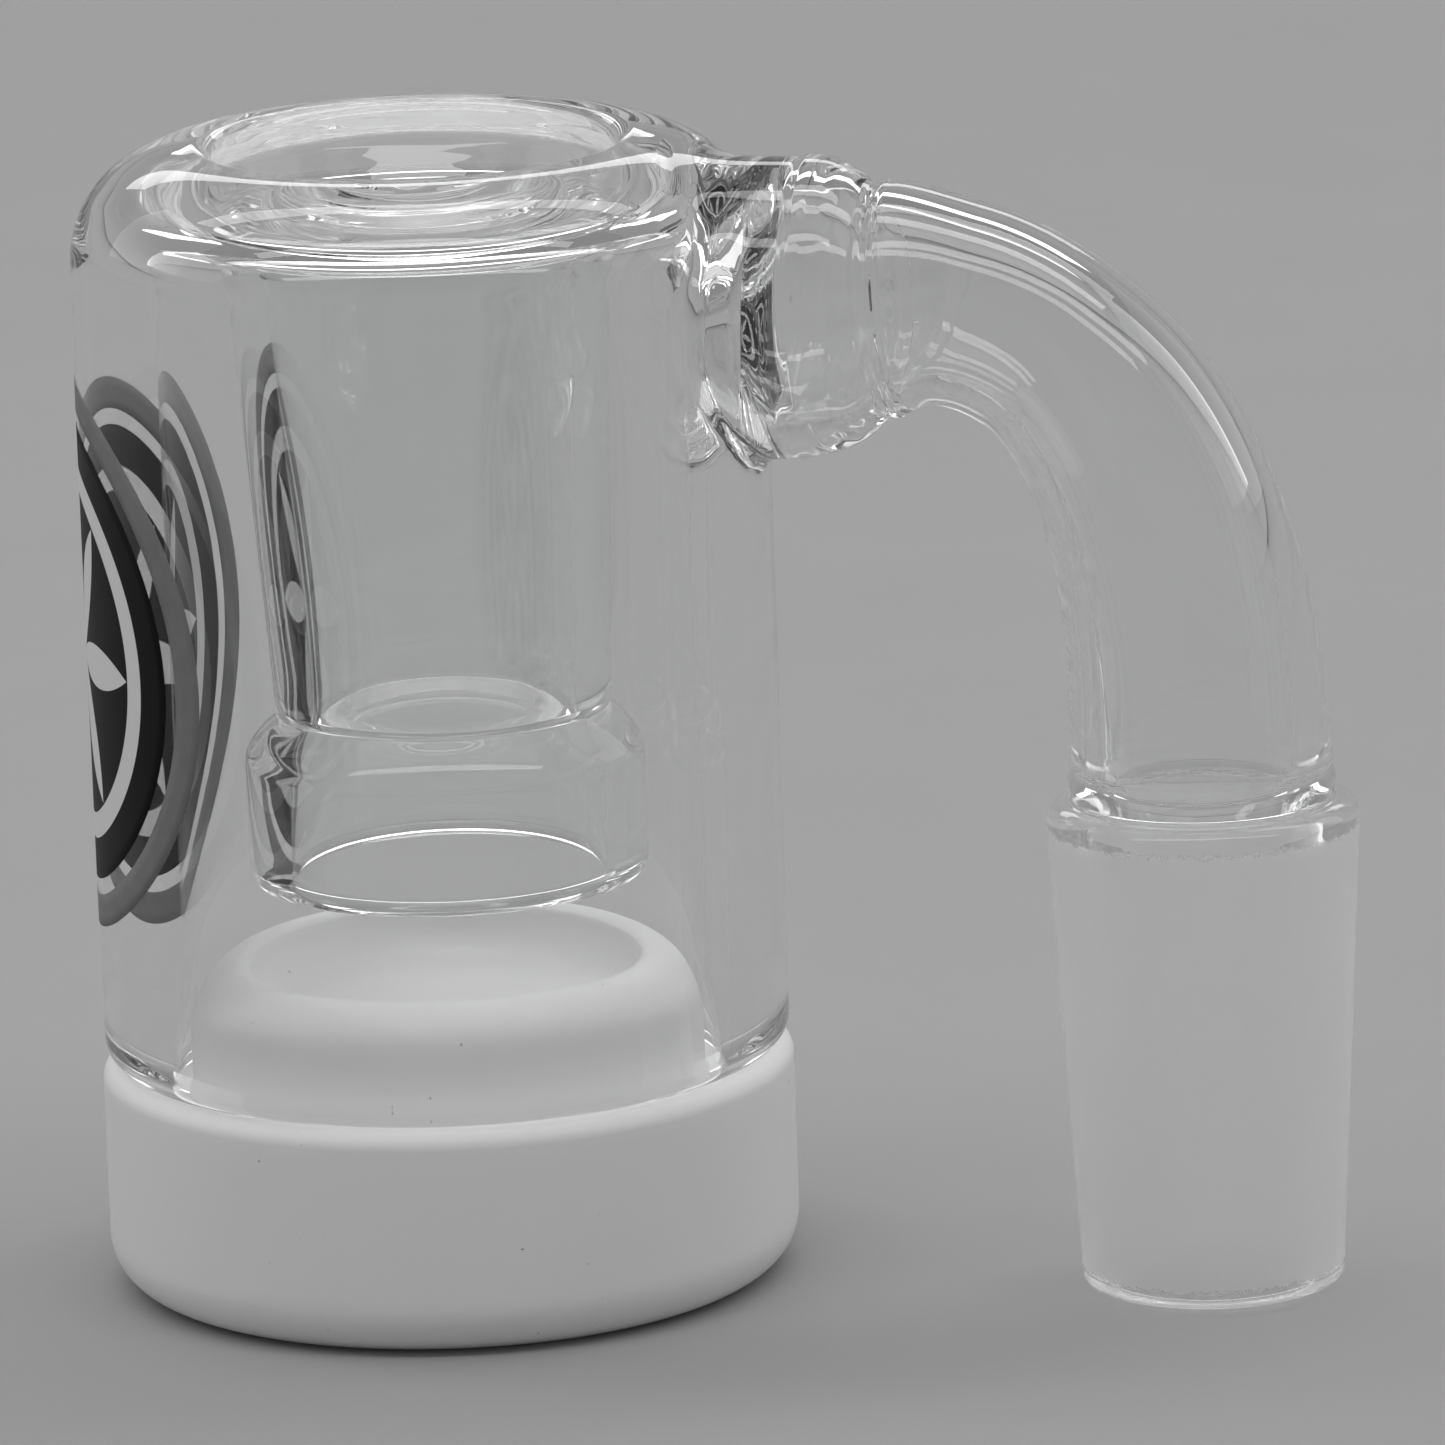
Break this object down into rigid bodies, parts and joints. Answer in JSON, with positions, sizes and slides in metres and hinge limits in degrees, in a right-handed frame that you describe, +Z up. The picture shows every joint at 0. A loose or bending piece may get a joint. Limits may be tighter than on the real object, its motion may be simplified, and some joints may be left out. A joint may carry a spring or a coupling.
{
  "type": "glass catcher adapter",
  "caption": "Clear glass catcher: heavy-walled jar with an inner socket tube and flared skirt, a bent side arm ending in a ground cone, and a white lift-out dish.",
  "frame": {"origin": "centre of the dish's flat underside, on the jar's axis, at the resting surface", "axes": "+Z up along the jar's axis, +X from the jar towards the side arm and its ground cone"},
  "size_m": [0.0597, 0.0324, 0.0542],
  "materials": {
    "clear_glass": "fire-polished clear borosilicate",
    "ground_glass": "fine-ground frosted",
    "white_dish": "satin",
    "grey_ink": "satin print",
    "black_ink": "satin print"
  },
  "bodies": {
    "dish": {"white_dish": "white_dish"},
    "glass": {"outer_jar": "clear_glass", "rolled_mouth": "clear_glass", "socket_tube": "clear_glass", "flared_skirt": "clear_glass", "arm_collar": "clear_glass", "bent_arm": "clear_glass", "weld_bead": "clear_glass", "ground_cone": "ground_glass", "badge_ring": "grey_ink", "badge_disc": "black_ink"}
  },
  "joints": [
    {"name": "glass_lift", "type": "slide", "parent": "dish", "child": "glass", "axis": [0, 0, 1], "range_m": [0, 0.02]}
  ]
}
